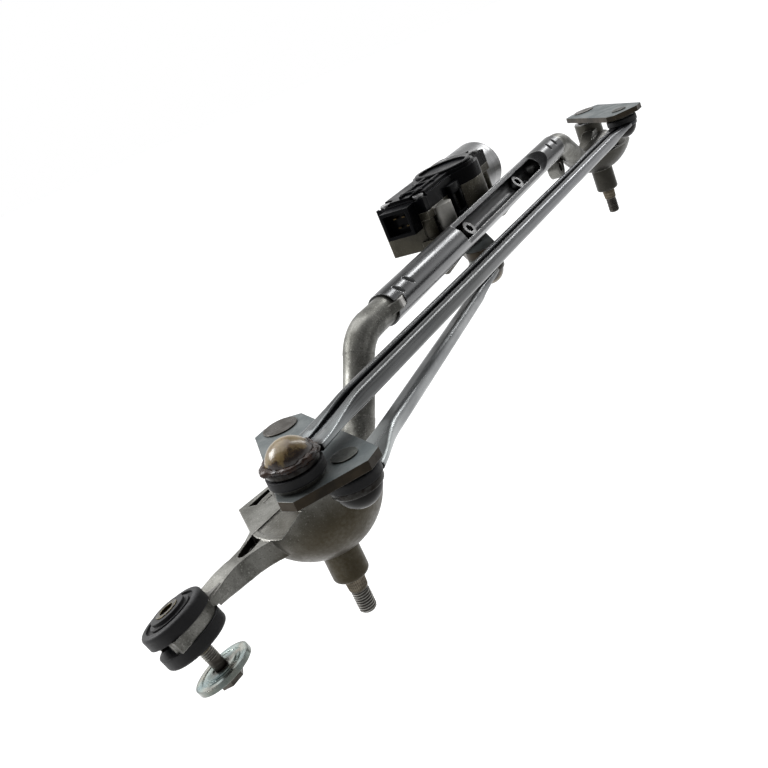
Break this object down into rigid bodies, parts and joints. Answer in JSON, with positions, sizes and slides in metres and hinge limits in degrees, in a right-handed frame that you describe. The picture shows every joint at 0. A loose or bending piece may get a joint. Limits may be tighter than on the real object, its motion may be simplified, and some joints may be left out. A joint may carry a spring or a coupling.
{
  "type": "wiper linkage",
  "caption": "Windscreen wiper linkage: tubular frame with cast pivot housings, gear motor with crank, and ball-jointed links that swing both wiper shafts.",
  "frame": {"origin": "on the driven shaft's axis where its wiper arm thread starts", "axes": "+Z along the shafts from the threads to the levers, +X from the driven shaft to the follower shaft, +Y to the motor's side"},
  "size_m": [0.616, 0.1431, 0.1395],
  "materials": {
    "zinc_tube": "zinc-plated, satin",
    "cast_aluminium": "as cast, matte",
    "lever_zinc": "dull blue-grey zinc",
    "black_rubber": "matte",
    "amber_nylon": "translucent amber, greased",
    "black_nylon": "matte",
    "yellow_zinc": "yellow zinc",
    "shaft_steel": "machined",
    "stud_steel": "turned",
    "green_zinc": "green-grey zinc",
    "screw_steel": "zinc",
    "cover_black": "moulded, semi-gloss",
    "can_steel": "drawn, satin",
    "bronze": "sintered",
    "copper": "turned",
    "core_iron": "dull",
    "wheel_nylon": "moulded"
  },
  "bodies": {
    "frame": {"frame_tube": "zinc_tube", "driven_housing": "cast_aluminium", "follower_housing": "cast_aluminium", "driven_upper_bush": "bronze", "driven_lower_bush": "bronze", "follower_upper_bush": "bronze", "follower_lower_bush": "bronze", "driven_thrust_washer": "screw_steel", "follower_thrust_washer": "screw_steel", "driven_grommet": "black_rubber", "driven_spacer": "yellow_zinc", "gear_case": "cast_aluminium", "gear_cover": "cover_black", "cover_screws": "screw_steel", "connector_pins": "bronze", "motor_screws": "screw_steel", "motor_can": "can_steel", "can_screws": "screw_steel", "can_clip": "cover_black", "magnets": "core_iron", "brush_plate": "black_nylon", "brushes": "core_iron", "output_bush": "bronze", "worm_bush": "bronze", "rear_bush": "bronze"},
    "driven_rocker": {"driven_shaft": "shaft_steel", "driven_lever": "lever_zinc", "long_link_stud": "stud_steel", "drive_link_stud": "stud_steel", "driven_circlip": "screw_steel"},
    "follower_rocker": {"follower_shaft": "shaft_steel", "follower_lever": "lever_zinc", "follower_stud": "stud_steel", "follower_circlip": "screw_steel"},
    "long_link": {"long_bar": "zinc_tube", "long_driven_socket": "amber_nylon", "long_driven_boot": "black_rubber", "long_follower_socket": "black_nylon", "long_follower_boot": "black_rubber"},
    "drive_link": {"drive_bar": "zinc_tube", "drive_lever_socket": "black_nylon", "drive_lever_boot": "black_rubber", "drive_crank_socket": "amber_nylon", "drive_crank_boot": "black_rubber", "crank_stud": "stud_steel"},
    "crank": {"crank_arm": "lever_zinc", "crank_nut": "screw_steel", "output_shaft": "shaft_steel", "worm_wheel": "wheel_nylon"},
    "armature": {"worm_shaft": "shaft_steel", "armature_core": "core_iron", "commutator": "copper"},
    "mount_bolt": {"fixing_bolt": "shaft_steel", "bolt_disc": "green_zinc"}
  },
  "joints": [
    {"name": "crank_turn", "type": "hinge", "parent": "frame", "child": "crank", "pos_m": [0.27, 0.025, 0], "axis": [0, 0, 1], "range_deg": [0, 162.24]},
    {"name": "driven_pivot", "type": "hinge", "parent": "frame", "child": "driven_rocker", "pos_m": [0, 0, 0], "axis": [0, 0, 1], "range_deg": [0, 79.46]},
    {"name": "follower_pivot", "type": "hinge", "parent": "frame", "child": "follower_rocker", "pos_m": [0.495, 0, 0.02], "axis": [0, 0, 1], "range_deg": [0, 79.46]},
    {"name": "long_link_pivot", "type": "hinge", "parent": "driven_rocker", "child": "long_link", "pos_m": [-0.04625, -0.04233, 0.0975], "axis": [0, 0, 1], "range_deg": [-79.46, 0]},
    {"name": "drive_link_pivot", "type": "hinge", "parent": "driven_rocker", "child": "drive_link", "pos_m": [-0.03179, -0.05404, 0.0745], "axis": [0, 0, 1], "range_deg": [-74.7, 0]},
    {"name": "armature_spin", "type": "hinge", "parent": "frame", "child": "armature", "pos_m": [0.3, 0.0479, 0.103], "axis": [1, 0, 0], "range_deg": [0, 6490.7]},
    {"name": "bolt_slide", "type": "slide", "parent": "frame", "child": "mount_bolt", "axis": [-0.0707, 0.2837, 0.9563], "range_m": [0, 0.0115]}
  ],
  "couplings": [
    {"joint": "driven_pivot", "follows": "crank_turn", "ratio": 0.48972},
    {"joint": "follower_pivot", "follows": "crank_turn", "ratio": 0.48972},
    {"joint": "long_link_pivot", "follows": "crank_turn", "ratio": -0.48972},
    {"joint": "drive_link_pivot", "follows": "crank_turn", "ratio": -0.46034},
    {"joint": "armature_spin", "follows": "crank_turn", "ratio": 40}
  ]
}
